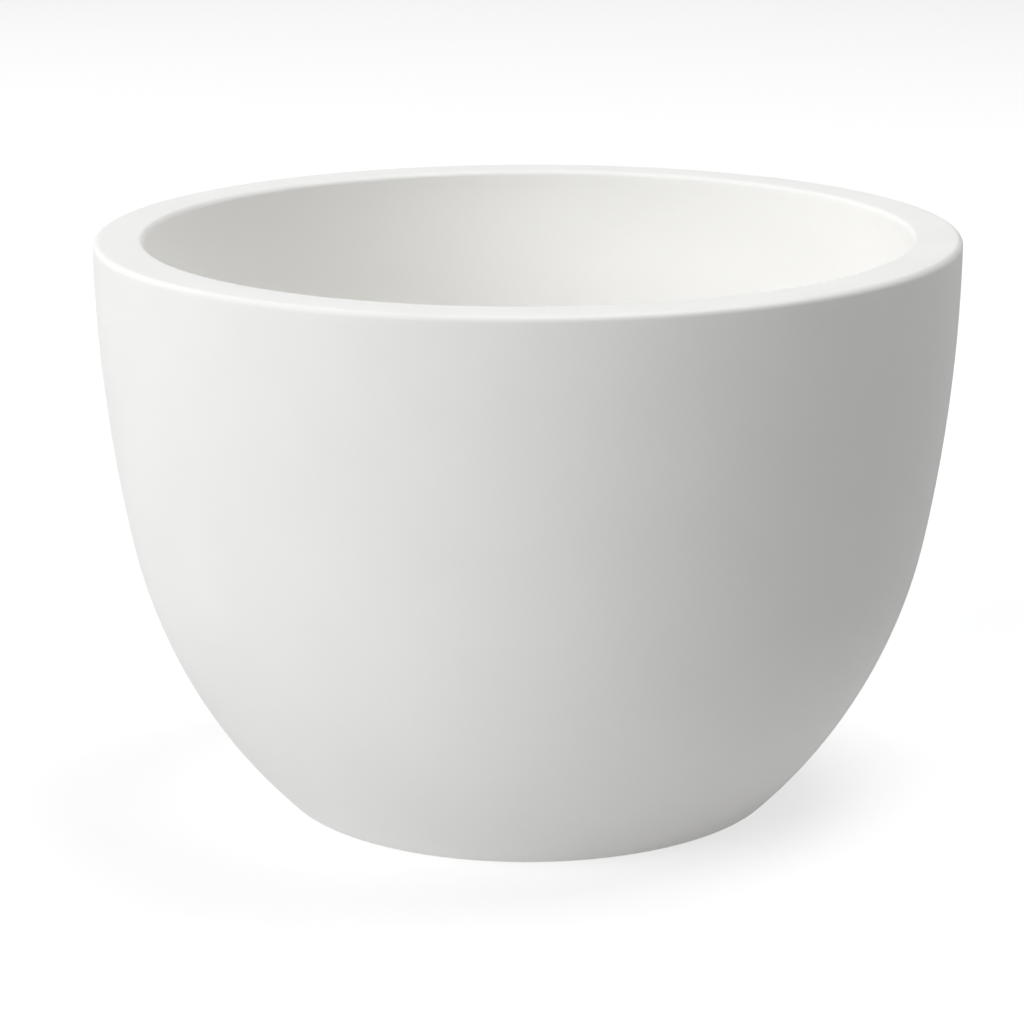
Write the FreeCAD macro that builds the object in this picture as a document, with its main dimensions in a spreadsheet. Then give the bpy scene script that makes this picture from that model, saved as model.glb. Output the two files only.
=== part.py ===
import FreeCAD, Part

import math
import os

import Sketcher
from FreeCAD import Vector

# A foundry crucible: one ceramic bowl, pressed and fired as a single piece.
# Millimetres and degrees, +Z up, with the origin at the centre of the flat base.
#
# The bowl is one outline turned about the upright axis. Its wall is two arcs that meet
# smoothly: a long shallow one that leaves the mouth upright (the side) and a tighter one that
# runs in to the base (the bowl). The cavity's wall is the same two arcs drawn about the same
# centres, one wall thickness further in, so the wall is equally thick all the way down.

NODE = "crucible"

# Name, value and meaning of each size.
SIZES = (
    ("rim_diameter", "120", "across the outside of the mouth"),
    ("overall_height", "80", "from the base to the mouth land"),
    ("base_diameter", "70", "across the flat base, to its unrounded edge"),
    ("wall_thickness", "7", "ceramic between the outside and the cavity"),
    ("floor_thickness", "8", "ceramic between the base and the cavity floor"),
    ("side_tangent", "21", "from the mouth's edge down to where the wall's two tangents cross"),
    ("foot_lean", "46", "slant of the outside where it meets the base, degrees from upright"),
    ("cavity_corner_radius", "12", "rounding between the cavity's wall and its floor"),
    ("outer_lip_radius", "0.9", "rounding of the mouth land's outer edge"),
    ("inner_lip_radius", "0.8", "rounding of the mouth land's inner edge"),
    ("foot_round_radius", "1.2", "rounding of the edge of the base"),
)

ORIGIN = (-1, 1)
LEVEL_AXIS = -1
UPRIGHT_AXIS = -2
START = 1
END = 2
CENTRE = 3


def make_sheet(document):
    """Spreadsheet with one size to a row: label, value under its alias, meaning."""
    sheet = document.addObject("Spreadsheet::Sheet", "Sizes")
    for row, (alias, value, meaning) in enumerate(SIZES, start=1):
        sheet.set("A%d" % row, alias)
        sheet.set("B%d" % row, value)
        sheet.set("C%d" % row, meaning)
        sheet.setAlias("B%d" % row, alias)
    document.recompute()
    return sheet


def size(alias):
    """Present value of a named size."""
    return float(sheet.get(alias))


# Sketching -----------------------------------------------------------------------------


def new_sketch(body, name):
    """Empty sketch on the body's own upright plane: sketch X is outward, sketch Y is up."""
    sketch = body.newObject("Sketcher::SketchObject", name)
    plane = [item for item in body.Origin.OriginFeatures if item.Role == "XZ_Plane"][0]
    sketch.AttachmentSupport = (plane, [""])
    sketch.MapMode = "FlatFace"
    return sketch


def relate(sketch, kind, *where):
    """Add a geometric relation."""
    sketch.addConstraint(Sketcher.Constraint(kind, *where))


def drive(sketch, kind, where, value, rule):
    """Add a dimension that follows a rule written with the named sizes."""
    index = sketch.addConstraint(Sketcher.Constraint(kind, *where, value))
    sketch.setExpression("Constraints[%d]" % index, rule)


def measure(sketch, kind, where, alias):
    """Add a length and bind it to a named size."""
    value = FreeCAD.Units.Quantity("%r mm" % size(alias))
    drive(sketch, kind, where, value, "Sizes.%s * 1 mm" % alias)


def add_line(sketch, start, end, construction=False):
    """Straight line from one point to another."""
    return sketch.addGeometry(Part.LineSegment(start, end), construction)


def add_arc(sketch, centre, start, end):
    """Arc that runs anticlockwise from one point to another."""
    radius = start.distanceToPoint(centre)
    circle = Part.Circle(centre, Vector(0, 0, 1), radius)
    first = math.atan2(start.y - centre.y, start.x - centre.x)
    last = math.atan2(end.y - centre.y, end.x - centre.x)
    return sketch.addGeometry(Part.ArcOfCircle(circle, first, last))


# Starting positions ----------------------------------------------------------------------
# The sketch's relations decide where everything goes. The solver only needs to start near.


def wall_arcs():
    """Where the wall's two arcs run: (side centre, bowl centre, meeting point, crossings)."""
    mouth = Vector(size("rim_diameter") / 2, size("overall_height"), 0)
    foot = Vector(size("base_diameter") / 2, 0, 0)
    lean = math.radians(size("foot_lean"))
    upper = size("side_tangent")
    down = Vector(0, -1, 0)
    inward = Vector(-math.sin(lean), -math.cos(lean), 0)
    span = foot - mouth
    lower = (span.dot(span) / 2 - upper * span.dot(down)) / (
        span.dot(inward) + upper * (1 - down.dot(inward)))
    high = mouth + down * upper
    low = foot - inward * lower
    meeting = high + (low - high) * (upper / (upper + lower))
    turned = down.getAngle(low - high)
    side = mouth - Vector(upper / math.tan(turned / 2), 0, 0)
    bowl_radius = lower / math.tan((lean - turned) / 2)
    bowl = foot + Vector(-math.cos(lean), math.sin(lean), 0) * bowl_radius
    return side, bowl, meeting, high, low


def beside(centre, radius, height):
    """Point at this height on a circle, on the side away from the axis."""
    rise = height - centre.y
    return Vector(centre.x + math.sqrt(radius ** 2 - rise ** 2), height, 0)


def towards(centre, point, radius):
    """Point at this distance from a centre, in the direction of another point."""
    return centre + (point - centre).normalize() * radius


# The crucible ----------------------------------------------------------------------------


def draw_outside(sketch):
    """Outside of the wall: foot rounding, bowl, side and outer lip, from the base upward."""
    side, bowl, meeting, high, low = wall_arcs()
    top = size("overall_height")
    side_radius = side.distanceToPoint(meeting)
    bowl_radius = bowl.distanceToPoint(meeting)
    round_radius = size("foot_round_radius")
    lip_radius = size("outer_lip_radius")
    foot_centre = beside(bowl, bowl_radius - round_radius, round_radius)
    foot_end = towards(bowl, foot_centre, bowl_radius)
    lip_centre = beside(side, side_radius - lip_radius, top - lip_radius)
    lip_start = towards(side, lip_centre, side_radius)

    foot_arc = add_arc(sketch, foot_centre, Vector(foot_centre.x, 0, 0), foot_end)
    bowl_arc = add_arc(sketch, bowl, foot_end, meeting)
    side_arc = add_arc(sketch, side, meeting, lip_start)
    lip_arc = add_arc(sketch, lip_centre, lip_start, Vector(lip_centre.x, top, 0))
    relate(sketch, "Tangent", foot_arc, END, bowl_arc, START)
    relate(sketch, "Tangent", bowl_arc, END, side_arc, START)
    relate(sketch, "Tangent", side_arc, END, lip_arc, START)
    measure(sketch, "Radius", (foot_arc,), "foot_round_radius")
    measure(sketch, "Radius", (lip_arc,), "outer_lip_radius")
    return foot_arc, bowl_arc, side_arc, lip_arc


def draw_inside(sketch, bowl_arc, side_arc):
    """Cavity's wall: inner lip, side, bowl and floor corner, about the outside's centres."""
    side, bowl, meeting, high, low = wall_arcs()
    top = size("overall_height")
    floor = size("floor_thickness")
    wall = size("wall_thickness")
    side_radius = side.distanceToPoint(meeting) - wall
    bowl_radius = bowl.distanceToPoint(meeting) - wall
    lip_radius = size("inner_lip_radius")
    corner_radius = size("cavity_corner_radius")
    inner_meeting = towards(side, meeting, side_radius)
    lip_centre = beside(side, side_radius + lip_radius, top - lip_radius)
    lip_end = towards(side, lip_centre, side_radius)
    corner_centre = beside(bowl, bowl_radius - corner_radius, floor + corner_radius)
    corner_end = towards(bowl, corner_centre, bowl_radius)

    corner_arc = add_arc(sketch, corner_centre, Vector(corner_centre.x, floor, 0), corner_end)
    inner_bowl = add_arc(sketch, bowl, corner_end, inner_meeting)
    inner_side = add_arc(sketch, side, inner_meeting, lip_end)
    lip_arc = add_arc(sketch, lip_centre, Vector(lip_centre.x, top, 0), lip_end)
    relate(sketch, "Tangent", corner_arc, END, inner_bowl, START)
    relate(sketch, "Tangent", inner_bowl, END, inner_side, START)
    relate(sketch, "Tangent", inner_side, END, lip_arc, END)
    relate(sketch, "Coincident", inner_bowl, CENTRE, bowl_arc, CENTRE)
    relate(sketch, "Coincident", inner_side, CENTRE, side_arc, CENTRE)
    measure(sketch, "Radius", (corner_arc,), "cavity_corner_radius")
    measure(sketch, "Radius", (lip_arc,), "inner_lip_radius")
    return corner_arc, inner_side, lip_arc


def draw_flats(sketch, foot_arc, outer_lip, inner_lip, corner_arc):
    """Base, mouth land and cavity floor, and the axis that closes the outline."""
    top = size("overall_height")
    floor = size("floor_thickness")
    edge = sketch.getPoint(foot_arc, START)
    base = add_line(sketch, Vector(0, 0, 0), edge)
    land = add_line(sketch, sketch.getPoint(outer_lip, END), sketch.getPoint(inner_lip, START))
    bottom = add_line(sketch, sketch.getPoint(corner_arc, START), Vector(0, floor, 0))
    axis = add_line(sketch, Vector(0, floor, 0), Vector(0, 0, 0))
    relate(sketch, "Tangent", base, END, foot_arc, START)
    relate(sketch, "Tangent", land, START, outer_lip, END)
    relate(sketch, "Tangent", land, END, inner_lip, START)
    relate(sketch, "Tangent", bottom, START, corner_arc, START)
    relate(sketch, "Coincident", base, START, *ORIGIN)
    relate(sketch, "Coincident", bottom, END, axis, START)
    relate(sketch, "Coincident", axis, END, *ORIGIN)
    relate(sketch, "PointOnObject", axis, START, UPRIGHT_AXIS)
    for flat in (base, land, bottom):
        relate(sketch, "Horizontal", flat)
    measure(sketch, "DistanceY", (*ORIGIN, bottom, END), "floor_thickness")
    return land


def place_mouth(sketch, land, side_arc, inner_side):
    """Mouth's two unrounded edges, level with the land, and the side's two tangents."""
    side, bowl, meeting, high, low = wall_arcs()
    mouth = Vector(size("rim_diameter") / 2, size("overall_height"), 0)
    wall = add_line(sketch, mouth, mouth - Vector(size("wall_thickness"), 0, 0), True)
    relate(sketch, "PointOnObject", wall, START, side_arc)
    relate(sketch, "PointOnObject", wall, END, inner_side)
    relate(sketch, "Horizontal", wall)
    relate(sketch, "Horizontal", wall, START, land, START)
    relate(sketch, "Horizontal", side_arc, CENTRE, wall, START)
    drive(sketch, "DistanceX", (*ORIGIN, wall, START), mouth.x, "Sizes.rim_diameter / 2 * 1 mm")
    measure(sketch, "DistanceY", (*ORIGIN, wall, START), "overall_height")
    measure(sketch, "Distance", (wall,), "wall_thickness")

    upper = add_line(sketch, mouth, high, True)
    slant = add_line(sketch, high, meeting, True)
    relate(sketch, "Coincident", upper, START, wall, START)
    relate(sketch, "Coincident", upper, END, slant, START)
    relate(sketch, "Vertical", upper)
    relate(sketch, "Tangent", slant, END, side_arc, START)
    measure(sketch, "Distance", (upper,), "side_tangent")


def place_foot(sketch, bowl_arc):
    """Base's unrounded edge and the slant of the wall there, square to a line to its centre."""
    edge = Vector(size("base_diameter") / 2, 0, 0)
    centre = sketch.getPoint(bowl_arc, CENTRE)
    spoke = add_line(sketch, edge, centre, True)
    relate(sketch, "PointOnObject", spoke, START, LEVEL_AXIS)
    relate(sketch, "PointOnObject", spoke, START, bowl_arc)
    relate(sketch, "Coincident", spoke, END, bowl_arc, CENTRE)
    drive(sketch, "DistanceX", (*ORIGIN, spoke, START), edge.x, "Sizes.base_diameter / 2 * 1 mm")
    angle = math.radians(180 - size("foot_lean"))
    drive(sketch, "Angle", (spoke,), angle, "(180 - Sizes.foot_lean) * 1 deg")


def make_crucible():
    """Solid of one piece: its outline turned a full circle about the upright axis."""
    body = document.addObject("PartDesign::Body", "Crucible")
    body.Label = NODE
    section = new_sketch(body, "Section")
    foot_arc, bowl_arc, side_arc, outer_lip = draw_outside(section)
    corner_arc, inner_side, inner_lip = draw_inside(section, bowl_arc, side_arc)
    land = draw_flats(section, foot_arc, outer_lip, inner_lip, corner_arc)
    place_mouth(section, land, side_arc, inner_side)
    place_foot(section, bowl_arc)
    document.recompute()

    bowl = body.newObject("PartDesign::Revolution", "Bowl")
    bowl.Profile = section
    bowl.ReferenceAxis = (section, ["V_Axis"])
    bowl.Angle = 360
    body.Tip = bowl
    document.recompute()
    return body


def check_document():
    """Stop if any object failed, or any sketch is not fully dimensioned."""
    for item in document.Objects:
        if "Invalid" in item.State or "Error" in item.State:
            raise RuntimeError("%s did not compute: %s" % (item.Name, item.State))
        if item.TypeId == "Sketcher::SketchObject" and not item.FullyConstrained:
            raise RuntimeError("%s is not fully dimensioned" % item.Name)


def export_node(body):
    """Check the body's shape and write it to its STEP file."""
    shape = body.Shape
    if shape.isNull() or not shape.isValid() or len(shape.Solids) != 1:
        raise RuntimeError("%s is not one valid solid" % body.Label)
    shape.exportStep("parts/%s.step" % body.Label)
    box = shape.optimalBoundingBox()
    print("%s: %.2f x %.2f x %.2f mm, %.1f cm3, %d faces" % (
        body.Label, box.XLength, box.YLength, box.ZLength, shape.Volume / 1000,
        len(shape.Faces)))


os.makedirs("parts", exist_ok=True)
document = FreeCAD.newDocument("FoundryCrucible")
sheet = make_sheet(document)
crucible = make_crucible()
check_document()
export_node(crucible)
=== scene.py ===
import math

import bpy
from mathutils import Euler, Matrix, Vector


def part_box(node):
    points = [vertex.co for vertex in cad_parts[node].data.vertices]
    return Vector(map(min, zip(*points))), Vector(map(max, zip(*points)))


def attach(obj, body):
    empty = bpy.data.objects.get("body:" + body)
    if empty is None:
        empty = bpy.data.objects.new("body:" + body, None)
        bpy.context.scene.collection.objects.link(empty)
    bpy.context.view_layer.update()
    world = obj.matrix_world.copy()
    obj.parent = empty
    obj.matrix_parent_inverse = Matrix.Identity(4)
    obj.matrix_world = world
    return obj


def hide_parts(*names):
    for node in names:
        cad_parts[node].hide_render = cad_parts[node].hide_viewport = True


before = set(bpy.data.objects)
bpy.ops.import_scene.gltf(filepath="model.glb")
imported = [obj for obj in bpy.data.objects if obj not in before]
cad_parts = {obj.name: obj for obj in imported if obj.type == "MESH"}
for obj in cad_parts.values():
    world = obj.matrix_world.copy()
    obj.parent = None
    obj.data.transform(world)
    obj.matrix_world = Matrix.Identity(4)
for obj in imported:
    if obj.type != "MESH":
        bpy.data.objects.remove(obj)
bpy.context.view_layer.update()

# The crucible's measures, in metres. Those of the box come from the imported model.
low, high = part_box("crucible")
RIM_RADIUS = min(-low[0], high[0], -low[1], high[1])
FOOT_Z = low[2]
HEIGHT = high[2] - low[2]
BASE_RADIUS = 0.035
WALL = 0.007
FLOOR_THICKNESS = 0.008
SIDE_TANGENT = 0.021
FOOT_LEAN = math.radians(46)
CORNER_RADIUS = 0.012
OUTER_LIP = 0.0009
INNER_LIP = 0.0008
FOOT_ROUND = 0.0012

# How finely the mesh is divided: round the axis, then along each stretch of the outline.
SEGMENTS = 360
FLAT_STEPS = 6
FLOOR_STEPS = 8
FOOT_STEPS = 8
BOWL_STEPS = 44
SIDE_STEPS = 28
LIP_STEPS = 12
INNER_STEPS = 26
CORNER_STEPS = 12

# Ceramic's darker and lighter colour, the noise levels that give them, the scales of its
# noises and its range of roughness.
CERAMIC_DARK = (0.945, 0.937, 0.916, 1)
CERAMIC_LIGHT = (0.965, 0.957, 0.936, 1)
CLOUD_LEVELS = (0.3, 0.7)
CLOUD_SCALE = 90
GRAIN_SCALE = 2600
SHEEN = (0.5, 0.6)

# Paper: the light it gives to the camera, the painted light it gives only the crucible round the
# foot and elsewhere, and its own grey. The painted glow fades from foot to paper level between
# two distances from the axis, in metres.
# FLOOR_REACH is half the floor's width.
CAMERA_GLOW = 0.62
# Painted light: paper glow that the camera never sees and that brightens the crucible's lower
# wall.
FOOT_PAINTED_GLOW = 0.26
PAPER_PAINTED_GLOW = 0.13
PAPER_GREY = 0.5
FOOT_REACH = 0.05
PAPER_REACH = 0.09
FLOOR_REACH = 3.0

# Softboxes: name, azimuth and elevation in degrees, width and height in metres, power in
# watts, and colour. Azimuth 0 is the front and 90 the right-hand side.
NEUTRAL = (1, 1, 1)
COOL = (0.985, 0.993, 1)
SOFTBOX_DISTANCE = 1.2
SOFTBOXES = (
    ("key", -47, 28, 1.1, 0.8, 10.5, COOL),
    ("top right", 112, 73, 0.8, 0.7, 9.3, COOL),
    ("back left", -125, 20, 0.8, 0.6, 4.0, NEUTRAL),
    ("back right", 120, 20, 0.7, 0.6, 1.4, NEUTRAL),
    ("back", 180, 20, 0.7, 0.6, 0.7, NEUTRAL),
)

# Camera, aimed at the middle of the crucible. Lens and sensor are in millimetres, and angles
# in degrees. Roll leans the picture and shift slides it.
LENS = 119.05
SENSOR = 36
CAMERA_DISTANCE = 0.48
CAMERA_ELEVATION = 14.71
CAMERA_ROLL = -0.151
SHIFT_X = -0.01606
SHIFT_Y = -0.0023
CLIP_END = 50


# Shape ---------------------------------------------------------------------------------


def wall_arcs():
    """Centre and radius of the wall's two arcs, and the angle below level where they meet."""
    mouth = Vector((RIM_RADIUS, HEIGHT))
    foot = Vector((BASE_RADIUS, 0))
    down = Vector((0, -1))
    inward = Vector((-math.sin(FOOT_LEAN), -math.cos(FOOT_LEAN)))
    span = foot - mouth
    lower = (span.dot(span) / 2 - SIDE_TANGENT * span.dot(down)) / (
        span.dot(inward) + SIDE_TANGENT * (1 - down.dot(inward)))
    slant = foot - inward * lower - mouth - down * SIDE_TANGENT
    turn = down.angle(slant)
    side_radius = SIDE_TANGENT / math.tan(turn / 2)
    bowl_radius = lower / math.tan((FOOT_LEAN - turn) / 2)
    side = mouth - Vector((side_radius, 0))
    bowl = foot + Vector((-math.cos(FOOT_LEAN), math.sin(FOOT_LEAN))) * bowl_radius
    return side, side_radius, bowl, bowl_radius, turn


def arc(centre, radius, start, end, steps):
    """Points along an arc, without its first."""
    points = []
    for i in range(1, steps + 1):
        angle = start + (end - start) * i / steps
        points.append(centre + Vector((math.cos(angle), math.sin(angle))) * radius)
    return points


def line(start, end, steps):
    """Points along a line, without its first."""
    return [start.lerp(end, i / steps) for i in range(1, steps + 1)]


def beside(centre, radius, height):
    """Point at this height on a circle, on the side away from the axis."""
    return Vector((centre.x + math.sqrt(radius ** 2 - (height - centre.y) ** 2), height))


def heading(centre, point):
    """Angle of a point seen from a centre."""
    return math.atan2(point.y - centre.y, point.x - centre.x)


def outline():
    """Half section from the middle of the base, round the outside, to the cavity's middle."""
    side, side_radius, bowl, bowl_radius, turn = wall_arcs()
    quarter = math.pi / 2
    foot = beside(bowl, bowl_radius - FOOT_ROUND, FOOT_ROUND)
    lip = beside(side, side_radius - OUTER_LIP, HEIGHT - OUTER_LIP)
    points = [Vector((0, 0))] + line(Vector((0, 0)), Vector((foot.x, 0)), FLAT_STEPS)
    points += arc(foot, FOOT_ROUND, -quarter, heading(bowl, foot), FOOT_STEPS)
    points += arc(bowl, bowl_radius, heading(bowl, foot), -turn, BOWL_STEPS)
    points += arc(side, side_radius, -turn, heading(side, lip), SIDE_STEPS)
    points += arc(lip, OUTER_LIP, heading(side, lip), quarter, LIP_STEPS)
    side_radius -= WALL
    bowl_radius -= WALL
    lip = beside(side, side_radius + INNER_LIP, HEIGHT - INNER_LIP)
    corner = beside(bowl, bowl_radius - CORNER_RADIUS, FLOOR_THICKNESS + CORNER_RADIUS)
    points += line(points[-1], Vector((lip.x, HEIGHT)), FLAT_STEPS)
    points += arc(lip, INNER_LIP, quarter, math.pi + heading(side, lip), LIP_STEPS)
    points += arc(side, side_radius, heading(side, lip), -turn, INNER_STEPS)
    points += arc(bowl, bowl_radius, -turn, heading(bowl, corner), INNER_STEPS)
    points += arc(corner, CORNER_RADIUS, heading(bowl, corner), -quarter, CORNER_STEPS)
    points += line(points[-1], Vector((0, FLOOR_THICKNESS)), FLOOR_STEPS)
    return points


def lathe(name, points):
    """Mesh of an outline turned about the upright axis, its first and last points on it."""
    verts = [(0, 0, FOOT_Z + points[0].y)]
    for point in points[1:-1]:
        for i in range(SEGMENTS):
            angle = 2 * math.pi * i / SEGMENTS
            verts.append((point.x * math.cos(angle), point.x * math.sin(angle), FOOT_Z + point.y))
    verts.append((0, 0, FOOT_Z + points[-1].y))
    faces = []
    rings = len(points) - 2
    for i in range(SEGMENTS):
        j = (i + 1) % SEGMENTS
        faces.append((0, 1 + j, 1 + i))
        for ring in range(rings - 1):
            a = 1 + ring * SEGMENTS
            b = a + SEGMENTS
            faces.append((a + i, a + j, b + j, b + i))
        a = 1 + (rings - 1) * SEGMENTS
        faces.append((a + i, a + j, len(verts) - 1))
    mesh = bpy.data.meshes.new(name)
    mesh.from_pydata(verts, [], faces)
    mesh.polygons.foreach_set("use_smooth", [True] * len(mesh.polygons))
    mesh.update()
    thing = bpy.data.objects.new(name, mesh)
    bpy.context.collection.objects.link(thing)
    return thing


# Materials -----------------------------------------------------------------------------


class Nodes:
    """Short way to add and join the nodes of one tree."""

    def __init__(self, tree):
        self.tree = tree
        tree.nodes.clear()

    def add(self, kind, **inputs):
        node = self.tree.nodes.new("ShaderNode" + kind)
        for name, value in inputs.items():
            socket = node.inputs[name.replace("_", " ")]
            if isinstance(value, bpy.types.NodeSocket):
                self.tree.links.new(value, socket)
            else:
                socket.default_value = value
        return node


def ceramic():
    """Matte white fired ceramic: faint clouding, a fine grain and a slightly uneven sheen."""
    material = bpy.data.materials.new("ceramic")
    material.use_nodes = True
    nodes = Nodes(material.node_tree)
    place = nodes.add("TexCoord").outputs["Object"]
    cloud = nodes.add("TexNoise", Vector=place, Scale=CLOUD_SCALE, Detail=3, Roughness=0.5)
    grain = nodes.add("TexNoise", Vector=place, Scale=GRAIN_SCALE, Detail=2, Roughness=0.6)
    tint = nodes.add("ValToRGB", Fac=cloud.outputs["Fac"])
    tint.color_ramp.elements[0].position = CLOUD_LEVELS[0]
    tint.color_ramp.elements[0].color = CERAMIC_DARK
    tint.color_ramp.elements[1].position = CLOUD_LEVELS[1]
    tint.color_ramp.elements[1].color = CERAMIC_LIGHT
    sheen = nodes.add("MapRange", Value=cloud.outputs["Fac"], To_Min=SHEEN[0], To_Max=SHEEN[1])
    bump = nodes.add("Bump", Height=grain.outputs["Fac"], Strength=0.05, Distance=0.0001)
    surface = nodes.add("BsdfPrincipled", Base_Color=tint.outputs["Color"],
                        Roughness=sheen.outputs["Result"], Normal=bump.outputs["Normal"])
    nodes.add("OutputMaterial", Surface=surface.outputs["BSDF"])
    return material


def paper():
    """White studio paper. It glows with painted light that only the crucible sees, most round its
    foot.

    It gives the camera more light than it gives other rays, so that it shows white near the
    crucible. It still greys in the crucible's shadow and far behind it.
    """
    material = bpy.data.materials.new("paper")
    material.use_nodes = True
    nodes = Nodes(material.node_tree)
    place = nodes.add("TexCoord").outputs["Object"]
    reach = nodes.add("VectorMath", Vector=place)
    reach.operation = "LENGTH"
    # Painted light: glow for the crucible only, strongest round its foot and never seen by the
    # camera.
    painted_glow = nodes.add("MapRange", Value=reach.outputs["Value"], From_Min=FOOT_REACH,
                      From_Max=PAPER_REACH, To_Min=FOOT_PAINTED_GLOW, To_Max=PAPER_PAINTED_GLOW)
    rays = nodes.add("LightPath")
    level = nodes.add("MapRange", Value=rays.outputs["Is Camera Ray"],
                      To_Min=painted_glow.outputs["Result"], To_Max=CAMERA_GLOW)
    glow = nodes.add("Emission", Color=(1, 1, 1, 1), Strength=level.outputs["Result"])
    matte = nodes.add("BsdfDiffuse", Color=(PAPER_GREY, PAPER_GREY, PAPER_GREY, 1))
    both = nodes.add("AddShader")
    nodes.tree.links.new(matte.outputs[0], both.inputs[0])
    nodes.tree.links.new(glow.outputs[0], both.inputs[1])
    nodes.add("OutputMaterial", Surface=both.outputs[0])
    return material


def backdrop():
    """World that is white to the camera and gives no light to anything else."""
    world = bpy.data.worlds.new("backdrop")
    world.use_nodes = True
    nodes = Nodes(world.node_tree)
    rays = nodes.add("LightPath")
    light = nodes.add("Background", Color=(1, 1, 1, 1), Strength=rays.outputs["Is Camera Ray"])
    nodes.add("OutputWorld", Surface=light.outputs[0])
    bpy.context.scene.world = world


# Studio --------------------------------------------------------------------------------


def bearing(azimuth, elevation):
    """Unit vector from the crucible, both angles in degrees."""
    a = math.radians(azimuth)
    e = math.radians(elevation)
    return Vector((math.sin(a) * math.cos(e), -math.cos(a) * math.cos(e), math.sin(e)))


def middle():
    """Middle of the crucible's height, on its axis."""
    return Vector((0, 0, FOOT_Z + HEIGHT / 2))


def softbox(name, azimuth, elevation, width, height, power, colour):
    """Rectangular area light aimed at the crucible."""
    lamp = bpy.data.lights.new(name, "AREA")
    lamp.shape = "RECTANGLE"
    lamp.size = width
    lamp.size_y = height
    lamp.energy = power
    lamp.color = colour
    thing = bpy.data.objects.new(name, lamp)
    away = bearing(azimuth, elevation)
    thing.location = middle() + away * SOFTBOX_DISTANCE
    thing.rotation_euler = away.to_track_quat("Z", "Y").to_euler()
    bpy.context.collection.objects.link(thing)


def add_camera():
    """Long lens a little above the mouth, in front of the crucible."""
    lens = bpy.data.cameras.new("camera")
    lens.lens = LENS
    lens.sensor_width = SENSOR
    lens.shift_x = SHIFT_X
    lens.shift_y = SHIFT_Y
    lens.clip_end = CLIP_END
    camera = bpy.data.objects.new("camera", lens)
    away = bearing(0, CAMERA_ELEVATION)
    camera.location = middle() + away * CAMERA_DISTANCE
    roll = Euler((0, 0, math.radians(CAMERA_ROLL))).to_quaternion()
    camera.rotation_euler = (away.to_track_quat("Z", "Y") @ roll).to_euler()
    bpy.context.collection.objects.link(camera)
    bpy.context.scene.camera = camera


def add_floor():
    """Wide plane under the foot."""
    mesh = bpy.data.meshes.new("floor")
    signs = [(-1, -1), (1, -1), (1, 1), (-1, 1)]
    corners = [(x * FLOOR_REACH, y * FLOOR_REACH, FOOT_Z) for x, y in signs]
    mesh.from_pydata(corners, [], [(0, 1, 2, 3)])
    floor = bpy.data.objects.new("floor", mesh)
    floor.data.materials.append(paper())
    bpy.context.collection.objects.link(floor)


crucible = lathe("crucible_ceramic", outline())
crucible.data.materials.append(ceramic())
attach(crucible, "root")
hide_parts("crucible")

add_floor()
backdrop()
for light in SOFTBOXES:
    softbox(*light)
add_camera()
bpy.context.scene.view_settings.view_transform = "Standard"
